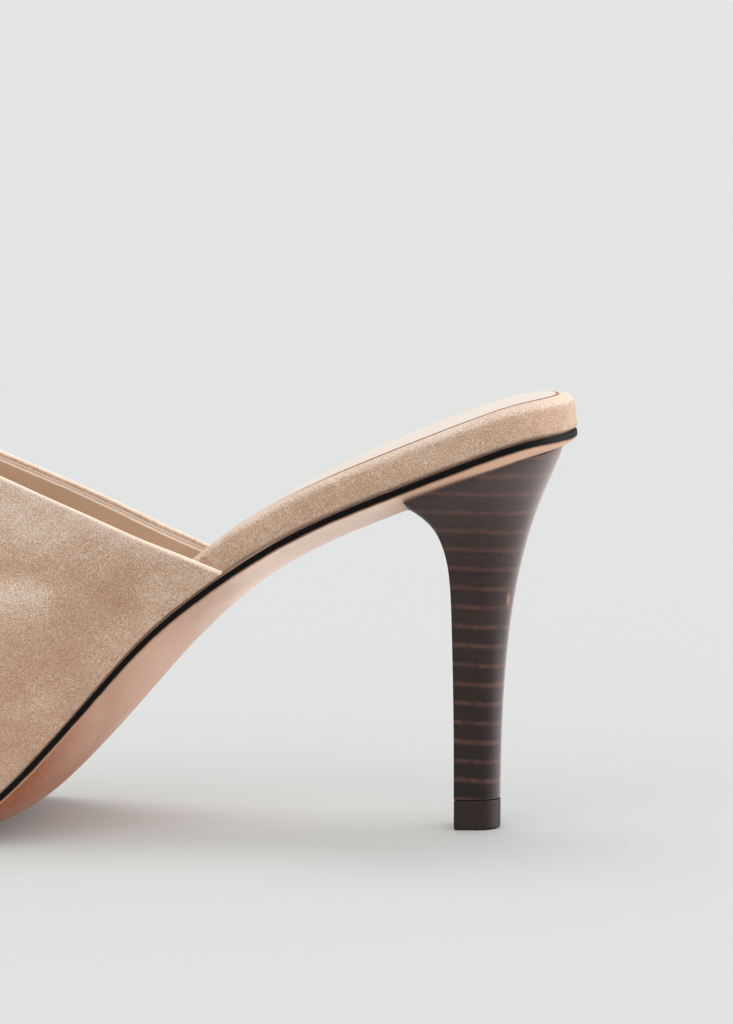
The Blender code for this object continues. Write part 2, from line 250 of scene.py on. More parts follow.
# one range of values laid over another, held at its ends
def between(tree, value, fromLow, fromHigh, toLow=0.0, toHigh=1.0, smooth=False):
    return addNode(tree, "MapRange", {"Value": value, "From Min": fromLow, "From Max": fromHigh,
                                      "To Min": toLow, "To Max": toHigh},
                   interpolation_type="SMOOTHSTEP" if smooth else "LINEAR").outputs["Result"]


# a value that wanders with the noise by the reach to both sides
def wandering(tree, value, noise, reach):
    return maths(tree, "ADD", value, between(tree, noise, 0.3, 0.7, -reach, reach))


# 0 before the limit and 1 past it, softened by the blur to both sides
def past(tree, value, limit, blur):
    return between(tree, value, limit - blur, limit + blur, smooth=True)


# two colours mixed: share 0 is the first, 1 the second
def mixed(tree, share, first, second):
    made = addNode(tree, "Mix", data_type="RGBA")
    for socket, value in ((made.inputs[0], share), (made.inputs[6], first), (made.inputs[7], second)):
        if isinstance(value, bpy.types.NodeSocket):
            tree.links.new(value, socket)
        else:
            socket.default_value = (*value, 1.0) if isinstance(value, tuple) else value
    return made.outputs[2]


def bumpOf(tree, height, strength, distance, under=None):
    inputs = {"Height": height, "Strength": strength, "Distance": distance}
    if under is not None:
        inputs["Normal"] = under
    return addNode(tree, "Bump", inputs).outputs["Normal"]


# a soft-edged spot: its middle, the share of each axis that counts, and the reach in metres
def spotAt(tree, place, middle, shares, full, none, strength):
    away = addNode(tree, "VectorMath", {0: place, 1: middle}, operation="SUBTRACT").outputs[0]
    away = stretched(tree, away, shares)
    away = addNode(tree, "VectorMath", {0: away}, operation="LENGTH").outputs["Value"]
    return between(tree, away, full, none, strength, 0.0, smooth=True)


def connect(tree, shader, **sockets):
    for key, value in sockets.items():
        name = {"colour": "Base Color", "rough": "Roughness", "normal": "Normal"}[key]
        tree.links.new(value, shader.inputs[name])


def sheenFrom(shader, look):
    shader.inputs["Sheen Weight"].default_value = look["sheen"]
    shader.inputs["Sheen Roughness"].default_value = look["sheenRoughness"]
    shader.inputs["Sheen Tint"].default_value = look["sheenTint"]


# suede: a short nap whose lie changes in patches, with a fine speckle
suedeLook = {
    "deep": (0.322, 0.186, 0.120), "middle": (0.500, 0.337, 0.238), "pale": (0.745, 0.618, 0.530),
    "patch": 34.0, "brushed": 170.0, "speckle": 2900.0, "grain": 4600.0,    # noise scales, coarse to fine
    "patchTone": 0.10, "brushedTone": 0.08, "speckleTone": 0.20, "grainTone": 0.36,
    "sheen": 0.35, "sheenRoughness": 0.45, "sheenTint": (1.0, 0.93, 0.85, 1.0), "specular": 0.15,
    "napDepth": 0.00022, "brushedDepth": 0.0006, "smoothest": 0.86, "roughest": 0.97,
}


# lighter moves the middle tone, and patches scales how much the lie of the nap changes
def suedeColour(tree, place, lighter, patches):
    patch = noiseOf(tree, stretched(tree, place, (0.8, 1.0, 1.5)), suedeLook["patch"], 3.0, 0.55, 0.6)
    brushed = noiseOf(tree, stretched(tree, place, (1.0, 1.0, 1.6)), suedeLook["brushed"], 3.0, 0.6, 0.4)
    speckle = noiseOf(tree, stretched(tree, place, (0.8, 1.0, 1.1)), suedeLook["speckle"], 2.0, 0.7)
    grain = noiseOf(tree, place, suedeLook["grain"], 1.0, 0.6)
    shade = 0.5 + lighter
    for noise, tone in ((patch, suedeLook["patchTone"] * patches), (brushed, suedeLook["brushedTone"]),
                        (speckle, suedeLook["speckleTone"]), (grain, suedeLook["grainTone"])):
        shade = wandering(tree, shade, noise, tone)
    # the lie of the nap, with painted light and shade; a piece without the attribute reads 0
    shade = maths(tree, "ADD", shade, attributeOf(tree, "napAndPaintedLight"))
    dark = between(tree, shade, 0.0, 0.5)
    light = between(tree, shade, 0.5, 1.0)
    colour = mixed(tree, light, mixed(tree, dark, suedeLook["deep"], suedeLook["middle"]), suedeLook["pale"])
    return colour, speckle, brushed


# the nap's finish, with its colour already made
def finishSuede(tree, shader, colour, speckle, brushed):
    sheenFrom(shader, suedeLook)
    shader.inputs["Specular IOR Level"].default_value = suedeLook["specular"]
    nap = bumpOf(tree, speckle, 0.55, suedeLook["napDepth"])
    nap = bumpOf(tree, brushed, 0.25, suedeLook["brushedDepth"], nap)
    connect(tree, shader, colour=colour, normal=nap,
            rough=between(tree, speckle, 0.3, 0.7, suedeLook["smoothest"], suedeLook["roughest"]))


def suedeMaterial(name, lighter=0.0, patches=1.0):
    made, tree, shader = newMaterial(name)
    finishSuede(tree, shader, *suedeColour(tree, objectPlace(tree), lighter, patches))
    return made


# smooth leather: even colour, a very fine grain and a soft gloss
def leatherMaterial(name, colour, darker, roughness, coat, grainScale=900.0, grainDepth=0.00006,
                    specular=0.4):
    made, tree, shader = newMaterial(name)
    place = objectPlace(tree)
    cloud = noiseOf(tree, place, 60.0, 3.0, 0.5)
    cells = addNode(tree, "TexVoronoi", {"Vector": place, "Scale": grainScale}).outputs["Distance"]
    pores = noiseOf(tree, place, grainScale * 2.6, 2.0, 0.6)
    tone = between(tree, cloud, 0.3, 0.7, 0.0, 0.7)
    tone = maths(tree, "ADD", tone, between(tree, pores, 0.35, 0.65, 0.0, 0.3))
    shader.inputs["Specular IOR Level"].default_value = specular
    shader.inputs["Coat Weight"].default_value = coat
    shader.inputs["Coat Roughness"].default_value = 0.3
    grain = bumpOf(tree, cells, 0.35, grainDepth)
    grain = bumpOf(tree, pores, 0.25, grainDepth, grain)
    connect(tree, shader, colour=mixed(tree, tone, colour, darker), normal=grain,
            rough=between(tree, cloud, 0.3, 0.7, roughness - 0.05, roughness + 0.06))
    return made


# the soft troughs and ridges of the vamp, in metres; a trough's depth is negative
vampFolds = [
    {"from": (0.0136, -0.0218, 0.0610), "to": (0.0086, -0.0221, 0.0524), "width": 0.0060, "depth": -0.00035},
    {"from": (0.0086, -0.0221, 0.0524), "to": (-0.0115, -0.0277, 0.0351), "width": 0.0060, "depth": -0.00045},
    {"from": (-0.0150, -0.0250, 0.0510), "to": (-0.0040, -0.0240, 0.0530), "width": 0.0060, "depth": 0.00045},
    {"from": (-0.0160, -0.0235, 0.0590), "to": (0.0065, -0.0223, 0.0572), "width": 0.0035, "depth": -0.00022},
    {"from": (-0.0140, -0.0215, 0.0715), "to": (0.0000, -0.0224, 0.0660), "width": 0.0050, "depth": 0.00035},
    {"from": (0.0034, -0.0238, 0.0326), "to": (0.0207, -0.0202, 0.0517), "width": 0.0050, "depth": 0.00030},
    {"from": (-0.0400, -0.0310, 0.0260), "to": (-0.0160, -0.0300, 0.0300), "width": 0.007, "depth": -0.00040},
    {"from": (-0.0520, -0.0180, 0.0480), "to": (-0.0300, -0.0230, 0.0620), "width": 0.008, "depth": -0.00040},
    {"from": (-0.0580, 0.0000, 0.0520), "to": (-0.0540, 0.0260, 0.0460), "width": 0.0070, "depth": -0.00045},
    {"from": (-0.0460, -0.0120, 0.0660), "to": (-0.0420, 0.0220, 0.0640), "width": 0.0080, "depth": 0.00045},
    {"from": (-0.0140, 0.0300, 0.0340), "to": (0.0100, 0.0270, 0.0560), "width": 0.0080, "depth": -0.00050},
    {"from": (-0.0300, 0.0310, 0.0440), "to": (-0.0060, 0.0280, 0.0620), "width": 0.0080, "depth": 0.00045},
    {"from": (-0.0440, 0.0340, 0.0240), "to": (-0.0220, 0.0340, 0.0300), "width": 0.0080, "depth": -0.00035},
]
# lighter and darker strokes: partly where the nap lies another way, partly painted shade in the troughs and
# painted highlight on the ridges of the folds
napAndShadeStrokes = [
    {"from": (0.0136, -0.0218, 0.0610), "to": (0.0086, -0.0221, 0.0524), "width": 0.0056, "tone": -0.12},
    {"from": (0.0086, -0.0221, 0.0524), "to": (-0.0004, -0.0240, 0.0418), "width": 0.0058, "tone": -0.05},
    {"from": (-0.0004, -0.0240, 0.0418), "to": (-0.0125, -0.0280, 0.0351), "width": 0.0056, "tone": -0.09},
    {"from": (0.0083, -0.0218, 0.0652), "to": (0.0164, -0.0217, 0.0615), "width": 0.0020, "tone": 0.10},
    {"from": (-0.0160, -0.0235, 0.0590), "to": (0.0020, -0.0228, 0.0585), "width": 0.0014, "tone": -0.10},
    {"from": (-0.0140, -0.0215, 0.0700), "to": (-0.0030, -0.0224, 0.0660), "width": 0.0042, "tone": 0.20},
    {"from": (-0.0170, -0.0250, 0.0520), "to": (-0.0072, -0.0241, 0.0519), "width": 0.0038, "tone": 0.30},
    {"from": (0.0034, -0.0238, 0.0326), "to": (0.0207, -0.0202, 0.0517), "width": 0.0030, "tone": 0.04},
    {"from": (-0.0090, -0.0272, 0.0308), "to": (-0.0050, -0.0270, 0.0300), "width": 0.0035, "tone": 0.04},
    {"from": (-0.0420, -0.0300, 0.0300), "to": (-0.0240, -0.0290, 0.0380), "width": 0.0070, "tone": -0.16},
    {"from": (-0.0440, -0.0240, 0.0480), "to": (-0.0240, -0.0240, 0.0560), "width": 0.0060, "tone": 0.18},
    {"from": (-0.0560, -0.0100, 0.0520), "to": (-0.0500, 0.0200, 0.0520), "width": 0.0070, "tone": -0.15},
    {"from": (-0.0400, -0.0100, 0.0680), "to": (-0.0360, 0.0200, 0.0680), "width": 0.0080, "tone": 0.16},
    {"from": (-0.0140, 0.0300, 0.0340), "to": (0.0100, 0.0270, 0.0540), "width": 0.0070, "tone": -0.17},
    {"from": (-0.0320, 0.0310, 0.0420), "to": (-0.0080, 0.0280, 0.0600), "width": 0.0060, "tone": 0.20},
    {"from": (-0.0480, 0.0340, 0.0200), "to": (-0.0260, 0.0350, 0.0260), "width": 0.0060, "tone": -0.14},
]
vampCentre = Vector((0.0, 0.003, 0.020))    # the folds push away from and towards the line through it


def strokeSum(point, strokes, key):
    total = 0.0
    for stroke in strokes:
        start, end = Vector(stroke["from"]), Vector(stroke["to"])
        along = end - start
        share = clamped((point - start).dot(along) / along.length_squared)
        away = (point - start - along * share).length
        total += stroke[key] * math.exp(-((away / stroke["width"]) ** 2))
    return total


# moves the wall as a whole, so that it keeps its thickness
def pressFolds(piece):
    for vertex in piece.data.vertices:
        out = Vector((0.0, vertex.co.y - vampCentre.y, vertex.co.z - vampCentre.z))
        if out.length > 1e-6:
            vertex.co += out.normalized() * strokeSum(vertex.co, vampFolds, "depth")
    piece.data.update()


# vamp
vampPiece = {
    "edgeRadius": 0.00032, "edgeAngle": 55, "levels": 2,
    # the rim tone is a painted highlight on the suede just below the rim, over the rim width
    "lighter": -0.045, "rimPaintedHighlight": 0.27, "rimWidth": 0.0018,
    "rimFade": (0.0165, 0.0240),    # the painted highlight below the rim fades out over these X, where the throat meets the sole
    "lowPaintedShade": -0.13, "shadeHeights": (0.026, 0.056),    # painted shade: the suede is darker towards the sole
    "lipRadius": 0.00046, "lipTaper": 0.010, "lipShares": {"suede": 0.26, "lining": 0.76},
    # the lips' suede is painted lighter, a painted highlight on the rolled rim
    "lipPaintedHighlight": {"suede": 0.36, "lining": 0.15}, "turnedLighter": 0.18,
    "coreRadius": 0.00040, "coreUp": 0.00026,    # the raw edge between the two layers
    "core": (0.880, 0.730, 0.610), "coreDark": (0.760, 0.590, 0.470),
}
liningPiece = {
    "turned": 0.0009, "turnedLighter": 0.50, "edge": 0.00055, "edgeColour": (0.930, 0.800, 0.680),
    "hide": (0.590, 0.415, 0.290), "hideDark": (0.520, 0.355, 0.238), "pores": (0.400, 0.240, 0.150),
}


# the suede turns over the rim; the lining starts a little below it with a pale raw edge
def liningMaterial():
    made, tree, shader = newMaterial("vamp_lining")
    place = objectPlace(tree)
    way = wandering(tree, attributeOf(tree, "innerWay"), noiseOf(tree, place, 300.0), 0.00008)
    suede = suedeColour(tree, place, liningPiece["turnedLighter"], 0.3)[0]
    cloud = noiseOf(tree, place, 60.0, 3.0, 0.5)
    pores = noiseOf(tree, place, 2600.0, 2.0, 0.6)
    hide = mixed(tree, between(tree, cloud, 0.3, 0.7), liningPiece["hide"], liningPiece["hideDark"])
    hide = mixed(tree, between(tree, pores, 0.35, 0.65, 0.0, 0.12), hide, liningPiece["pores"])
    start, end = liningPiece["turned"], liningPiece["turned"] + liningPiece["edge"]
    colour = mixed(tree, past(tree, way, start, 0.00008), suede, liningPiece["edgeColour"])
    colour = mixed(tree, past(tree, way, end, 0.0001), colour, hide)
    step = between(tree, way, start - 0.0001, start + 0.0001, 1.0, 0.0, smooth=True)
    shader.inputs["Specular IOR Level"].default_value = 0.3
    grain = bumpOf(tree, pores, 0.2, 0.00006, bumpOf(tree, step, 0.6, 0.00030))
    connect(tree, shader, colour=colour, normal=grain, rough=between(tree, cloud, 0.3, 0.7, 0.50, 0.62))
    return made


# sorts the vamp's faces into outside, inside and cut edges, and gives the outer and inner line of each rim
def sortVamp(vamp):
    shell = bmesh.new()
    shell.from_mesh(vamp.data)
    regions = sorted(faceRegions(shell, math.radians(55)), key=lambda r: -sum(f.calc_area() for f in r))

    def outwardness(region):
        return sum((f.calc_center_median() - vampCentre).dot(f.normal) * f.calc_area() for f in region)

    outside, inside = sorted(regions[:2], key=outwardness, reverse=True)
    strips = sorted(regions[2:], key=lambda r: sum(f.calc_center_median().x for f in r) / len(r))
    for faces, index in ((shell.faces, 2), (outside, 0), (inside, 1)):
        for face in faces:
            face.material_index = index
    lips = []
    for strip, name in ((strips[-1], "throat"), (strips[0], "toe")):
        lines = []
        for wall in (outside, inside):
            wallFaces = set(wall)
            shared = [e for f in strip for e in f.edges if any(o in wallFaces for o in e.link_faces)]
            lines.append(edgeLine(list(dict.fromkeys(shared))))
        outerLine, innerLine = lines
        if (outerLine[0] - innerLine[0]).length > (outerLine[0] - innerLine[-1]).length:
            innerLine = innerLine[::-1]
        lips.append((name, outerLine, innerLine))
    shell.to_mesh(vamp.data)
    shell.free()
    return lips


# paints how far each point is from the inner rim, and the lie of the nap with painted highlight and painted
# shade
def paintVamp(vamp, lips):
    outerTrees = [curveTree(outer) for name, outer, inner in lips]
    innerTrees = [curveTree(inner) for name, outer, inner in lips]
    lowest, highest = vampPiece["shadeHeights"]
    fadeFrom, fadeTo = vampPiece["rimFade"]
    innerWays, tonesWithPaintedLight = [], []
    for vertex in vamp.data.vertices:
        place = vertex.co
        innerWays.append(min(tree.find(place)[2] for tree in innerTrees))
        rimWay = min(tree.find(place)[2] for tree in outerTrees)
        # painted highlight just below the rim and painted shade towards the sole, added to the nap
        rim = math.exp(-(rimWay / vampPiece["rimWidth"])) * clamped((fadeTo - place.x) / (fadeTo - fadeFrom))
        low = clamped((highest - place.z) / (highest - lowest))
        tonesWithPaintedLight.append(strokeSum(place, napAndShadeStrokes, "tone")
                     + vampPiece["rimPaintedHighlight"] * rim + vampPiece["lowPaintedShade"] * low)
    writeAttribute(vamp, "innerWay", innerWays)
    writeAttribute(vamp, "napAndPaintedLight", tonesWithPaintedLight)


# the beads of one cut edge: the turned suede, the lining and the raw edge between them
def makeLips(name, outerLine, innerLine, looks, rawEdge):
    for layer, share in vampPiece["lipShares"].items():
        points = [a.lerp(b, share) for a, b in zip(outerLine, innerLine)]
        lip = beadAlong(name + "_lip_" + layer, points, vampPiece["lipRadius"], taper=vampPiece["lipTaper"])
        lip.data.materials.append(looks[layer])
        pressFolds(lip)
        finishPiece(lip, "vamp_suede")
    middles = [a.lerp(b, 0.5) for a, b in zip(outerLine, innerLine)]
    core = []
    for k, (a, b) in enumerate(zip(outerLine, innerLine)):
        along = middles[min(k + 1, len(middles) - 1)] - middles[max(k - 1, 0)]
        out = along.cross(b - a).normalized()
        if out.x * (1 if name == "throat" else -1) < 0:
            out = -out
        core.append(middles[k] + out * vampPiece["coreUp"])
    raw = beadAlong(name + "_raw_edge", core, vampPiece["coreRadius"])
    raw.data.materials.append(rawEdge)
    pressFolds(raw)
    finishPiece(raw, "vamp_suede")


def makeVamp():
    vamp = copyOfSolid("upper", "vamp")
    lips = sortVamp(vamp)
    for look in (suedeMaterial("vamp_suede_napped", lighter=vampPiece["lighter"]), liningMaterial(),
                 suedeMaterial("turned_edge", lighter=vampPiece["turnedLighter"], patches=0.4)):
        vamp.data.materials.append(look)
    smoothFurther(vamp, vampPiece["levels"], vampPiece["edgeRadius"], vampPiece["edgeAngle"])
    paintVamp(vamp, lips)
    pressFolds(vamp)
    finishPiece(vamp, "vamp_suede", "upper")
    # the lips' suede is painted lighter as a highlight on the rolled rim
    looks = {layer: suedeMaterial(name, vampPiece["lipPaintedHighlight"][layer], 0.3)
             for layer, name in (("suede", "lip_suede"), ("lining", "lip_suede_inner"))}
    rawEdge = leatherMaterial("raw_edge", vampPiece["core"], vampPiece["coreDark"], 0.8, 0.0, specular=0.15)
    for name, outerLine, innerLine in lips:
        makeLips(name, outerLine, innerLine, looks, rawEdge)


makeVamp()
print("vamp made")


# footbed, sock and the seam line between them
footbedPiece = {
    # the rim tone is a painted highlight on the suede where the wrap faces up
    "edgeRadius": 0.00030, "levels": 2, "fill": 0.95, "lighter": -0.085, "patches": 0.8, "rimPaintedHighlight": 0.36,
    "backFrom": 0.094, "backTo": 0.104, "backFill": 0.00050,
    # dried glue where the inner end of the vamp meets the footbed: place, shares, full, none, strength
    "glueSpecks": [((0.0283, 0.0, 0.0604), (0.8, 0.0, 1.5), 0.00025, 0.00090, 0.85),
                   ((0.0294, 0.0, 0.0598), (0.9, 0.0, 1.8), 0.0001, 0.0007, 0.7)],
    "glue": (0.300, 0.120, 0.060),
}
sockPiece = {
    "edgeRadius": 0.00018, "edgeAngle": 30, "levels": 2,
    "cream": (0.775, 0.675, 0.600), "creamDark": (0.730, 0.630, 0.550), "roughness": 0.42, "coat": 0.12,
    "seamRadius": 0.00017, "seamOut": 0.00036, "seamUp": -0.00011, "outerSink": 0.00014,
    "seamBrown": ((0.330, 0.130, 0.060), (0.250, 0.090, 0.040)),
    # the seam's pale colour is a painted highlight
    "seamPaintedHighlight": ((0.740, 0.600, 0.500), (0.640, 0.490, 0.390)),
}


def footbedMaterial():
    made, tree, shader = newMaterial("footbed_suede_napped")
    place = objectPlace(tree)
    colour, speckle, brushed = suedeColour(tree, place, footbedPiece["lighter"], footbedPiece["patches"])
    first, second = (spotAt(tree, place, *speck) for speck in footbedPiece["glueSpecks"])
    glue = maths(tree, "MAXIMUM", first, second)
    glue = maths(tree, "MULTIPLY", glue, between(tree, axesOf(tree, place)["Y"], -0.014, -0.012, 1.0, 0.0))
    glue = maths(tree, "MULTIPLY", glue, between(tree, speckle, 0.40, 0.55))
    finishSuede(tree, shader, mixed(tree, glue, colour, footbedPiece["glue"]), speckle, brushed)
    return made


# the cover is pulled tight over the back of the seat, nearly flush with the sole's edge
def fillBack(cover):
    low, high = footbedPiece["backFrom"], footbedPiece["backTo"]
    for vertex in cover.data.vertices:
        share = clamped((vertex.co.x - low) / (high - low))
        facing = Vector((vertex.normal.x, vertex.normal.y, 0.0))
        if share > 0 and facing.x > 0.05 and vertex.normal.z > -0.5:
            push = footbedPiece["backFill"] * share * min(1.0, 1.5 * facing.length)
            vertex.co += facing.normalized() * push
    cover.data.update()


def makeFootbed():
    footbed = copyOfSolid("footbed", "footbed_cover")
    footbed.data.materials.append(footbedMaterial())
    smoothFurther(footbed, footbedPiece["levels"], footbedPiece["edgeRadius"])
    fillBack(footbed)
    # painted highlight: the suede is painted paler where the wrap rolls over to face up
    writeAttribute(footbed, "napAndPaintedLight", [footbedPiece["rimPaintedHighlight"] * clamped((v.normal.z - 0.12) / 0.5)
                                        for v in footbed.data.vertices])
    finishPiece(footbed, "footbed_suede", "footbed")


# the seam is brown at the seat and the toe; at the waist it is painted pale, a painted highlight like that of
# the rolled edge
def seamMaterial():
    made, tree, shader = newMaterial("seam_line")
    place = objectPlace(tree)
    pores = noiseOf(tree, place, 2600.0, 2.0, 0.6)
    along = wandering(tree, axesOf(tree, place)["X"], noiseOf(tree, place, 240.0), 0.002)
    paintedHighlightShare = maths(tree, "MULTIPLY", between(tree, along, -0.030, -0.010, smooth=True),
                   between(tree, along, 0.040, 0.062, 1.0, 0.0, smooth=True))
    brown = mixed(tree, pores, *sockPiece["seamBrown"])
    pale = mixed(tree, pores, *sockPiece["seamPaintedHighlight"])
    shader.inputs["Specular IOR Level"].default_value = 0.2
    connect(tree, shader, colour=mixed(tree, paintedHighlightShare, brown, pale), normal=bumpOf(tree, pores, 0.3, 0.00005),
            rough=between(tree, pores, 0.3, 0.7, 0.60, 0.75))
    return made


# the seam runs just outside the sock's top edge, a little deeper on the outer side
def makeSeam(edge):
    middle = sum(edge, Vector()) / len(edge)
    points = []
    for before, point, after in zip(edge[-1:] + edge[:-1], edge, edge[1:] + edge[:1]):
        side = (after - before).cross(Vector((0.0, 0.0, 1.0))).normalized()
        if side.dot(point - middle) < 0:
            side = -side
        up = sockPiece["seamUp"] - sockPiece["outerSink"] * clamped((point.y - middle.y) / 0.004)
        points.append(point + side * sockPiece["seamOut"] + Vector((0.0, 0.0, up)))
    seam = beadAlong("sock_seam", points, sockPiece["seamRadius"], closed=True, sides=2)
    seam.data.materials.append(seamMaterial())
    finishPiece(seam, "sock_leather")


def makeSock():
    sock = copyOfSolid("sock", "sock_leather")
    sheet = bmesh.new()
    sheet.from_mesh(sock.data)
    top = set(mostUpward(faceRegions(sheet, math.radians(30))))
    topEdge = edgeLine([e for e in sheet.edges if sum(f in top for f in e.link_faces) == 1])
    sheet.free()
    cream = leatherMaterial("sock_leather_cream", sockPiece["cream"], sockPiece["creamDark"],
                            sockPiece["roughness"], sockPiece["coat"], 1100.0, 0.00004)
    sock.data.materials.append(cream)
    smoothFurther(sock, sockPiece["levels"], sockPiece["edgeRadius"], sockPiece["edgeAngle"])
    finishPiece(sock, "sock_leather", "sock")
    makeSeam(topEdge)


makeFootbed()
makeSock()
print("footbed and sock made")


# outsole: bare leather below, a black painted edge with a dark bevel, and a thin line of edge dye
outsolePiece = {
    "edgeRadius": 0.00012, "edgeAngle": 28, "levels": 2,
    "black": 0.00118, "bevel": 0.00140, "dye": 0.00156,    # how far below the top edge each one ends
    "paint": (0.0030, 0.0026, 0.0026), "paintPale": (0.0060, 0.0052, 0.0050),
    "underPaint": (0.006, 0.005, 0.005),    # where a face lies only partly on the painted edge
    "bevelColour": (0.040, 0.028, 0.023),
    # the forefoot colour is painted shade, darker where the sole nears the floor
    "dyeColour": (0.420, 0.220, 0.130), "forefoot": (0.215, 0.056, 0.018), "fibres": (0.480, 0.290, 0.200),
    # the hide's tone along the sole: from X, to X, and the colour that it turns to; paler under the arch as
    # painted light, darker towards the forefoot as painted shade
    "tonesWithPaintedLight": [(-0.015, 0.024, (0.565, 0.375, 0.286)), (0.024, 0.043, (0.905, 0.710, 0.608)),
              (0.062, 0.075, (0.700, 0.440, 0.310))],
    "sheen": 0.10, "sheenRoughness": 0.40, "sheenTint": (1.0, 0.82, 0.74, 1.0), "specular": 0.15,
}


def edgePaint():
    made, tree, shader = newMaterial("sole_edge_black")
    fine = noiseOf(tree, objectPlace(tree), 1800.0, 2.0)
    shader.inputs["Specular IOR Level"].default_value = 0.05
    connect(tree, shader, colour=mixed(tree, fine, outsolePiece["paint"], outsolePiece["paintPale"]),
            normal=bumpOf(tree, fine, 0.15, 0.00002), rough=between(tree, fine, 0.3, 0.7, 0.46, 0.56))
    return made


def outsoleMaterial():
    made, tree, shader = newMaterial("sole_leather_tan")
    place = objectPlace(tree)
    way = wandering(tree, attributeOf(tree, "edgeWay"), noiseOf(tree, place, 260.0), 0.00007)
    cloud = noiseOf(tree, place, 55.0, 3.0, 0.5, 0.4)
    fibre = noiseOf(tree, stretched(tree, place, (0.35, 1.0, 1.0)), 900.0, 3.0, 0.6)
    along = wandering(tree, axesOf(tree, place)["X"], cloud, 0.004)
    # the hide's colour along the sole, with painted shade towards the forefoot and painted light under the
    # arch
    hide = outsolePiece["forefoot"]
    for low, high, tone in outsolePiece["tonesWithPaintedLight"]:
        hide = mixed(tree, between(tree, along, low, high, smooth=True), hide, tone)
    hide = mixed(tree, between(tree, fibre, 0.35, 0.65, 0.0, 0.16), hide, outsolePiece["fibres"])
    pastDye = between(tree, way, outsolePiece["dye"], outsolePiece["dye"] + 0.0004, smooth=True)
    pastBevel = past(tree, way, outsolePiece["bevel"], 0.0001)
    pastBlack = past(tree, way, outsolePiece["black"], 0.0001)
    colour = mixed(tree, pastDye, outsolePiece["dyeColour"], hide)
    colour = mixed(tree, pastBevel, outsolePiece["bevelColour"], colour)
    colour = mixed(tree, pastBlack, outsolePiece["underPaint"], colour)
    sheenFrom(shader, outsolePiece)
    shader.inputs["Specular IOR Level"].default_value = outsolePiece["specular"]
    connect(tree, shader, colour=colour, normal=bumpOf(tree, fibre, 0.25, 0.00005),
            rough=between(tree, pastBevel, 0.0, 1.0, 0.45, 0.62))
    return made


def makeOutsole():
    outsole = copyOfSolid("outsole", "outsole_leather")
    shell = bmesh.new()
    shell.from_mesh(outsole.data)
    top = set(mostUpward(faceRegions(shell, math.radians(28))))
    topEdge = edgeLine([e for e in shell.edges if sum(f in top for f in e.link_faces) == 1])
    shell.free()
    smoothFurther(outsole, outsolePiece["levels"], outsolePiece["edgeRadius"], outsolePiece["edgeAngle"])
    tree = curveTree(topEdge, closed=True)
    ways = [tree.find(v.co)[2] for v in outsole.data.vertices]
    writeAttribute(outsole, "edgeWay", ways)
    outsole.data.materials.append(outsoleMaterial())
    outsole.data.materials.append(edgePaint())
    for face in outsole.data.polygons:
        face.material_index = 1 if max(ways[k] for k in face.vertices) < outsolePiece["black"] else 0
    finishPiece(outsole, "sole_leather", "outsole")


makeOutsole()
print("outsole made")


# heel: a stack of thin dark layers with pale joints, waxed; the joints lean with the pitch of the seat
heelPiece = {
    "edgeRadius": 0.00020, "edgeAngle": 38, "levels": 2,
    "layer": 0.00425, "firstJoint": 0.07885, "joint": 0.00042, "middle": 0.0870, "lean": 0.068,
    "seatLift": 0.00020, "backLift": 0.00045, "backFrom": 0.090, "backTo": 0.103,
    "breastFacing": -0.30,    # faces that look further forward than this are the matt breast
    "dark": (0.0110, 0.0060, 0.0058), "brown": (0.0500, 0.0290, 0.0260), "pale": (0.084, 0.036, 0.027),
    # painted shade: the stack is darker towards the floor
    "low": (0.008, 0.004, 0.0035), "lowShadeHeights": (0.008, 0.062),
    "sheen": 1.0, "sheenRoughness": 0.38, "sheenTint": (1.0, 0.87, 0.84, 1.0), "waxed": 0.21, "matt": 0.06,
    # a small reddish nick on the inner side near the back: place, shares, full, none, strength
    "nick": ((0.0931, -0.0038, 0.0503), (0.7, 0.30, 0.20), 0.00015, 0.00045, 0.9),
    "nickColour": (0.300, 0.110, 0.080),
}


# 1 on a joint between two layers and 0 away from it
def jointLines(tree, place, axes):
    layer, joint = heelPiece["layer"], heelPiece["joint"]
    run = maths(tree, "SUBTRACT", axes["X"], heelPiece["middle"])
    level = maths(tree, "ADD", axes["Z"], maths(tree, "MULTIPLY", run, heelPiece["lean"]))
    level = wandering(tree, level, noiseOf(tree, stretched(tree, place, (1.0, 1.0, 3.0)), 130.0), 0.00012)
    level = maths(tree, "SUBTRACT", level, heelPiece["firstJoint"] % layer - layer / 2)
    away = maths(tree, "SUBTRACT", maths(tree, "MODULO", level, layer), layer / 2)
    away = maths(tree, "ABSOLUTE", away)
    line = between(tree, away, joint * 0.3, joint * 1.9, 1.0, 0.0, smooth=True)
    patchy = between(tree, noiseOf(tree, place, 420.0, 2.0), 0.32, 0.62, 0.35, 1.0)
    return maths(tree, "MULTIPLY", line, patchy)


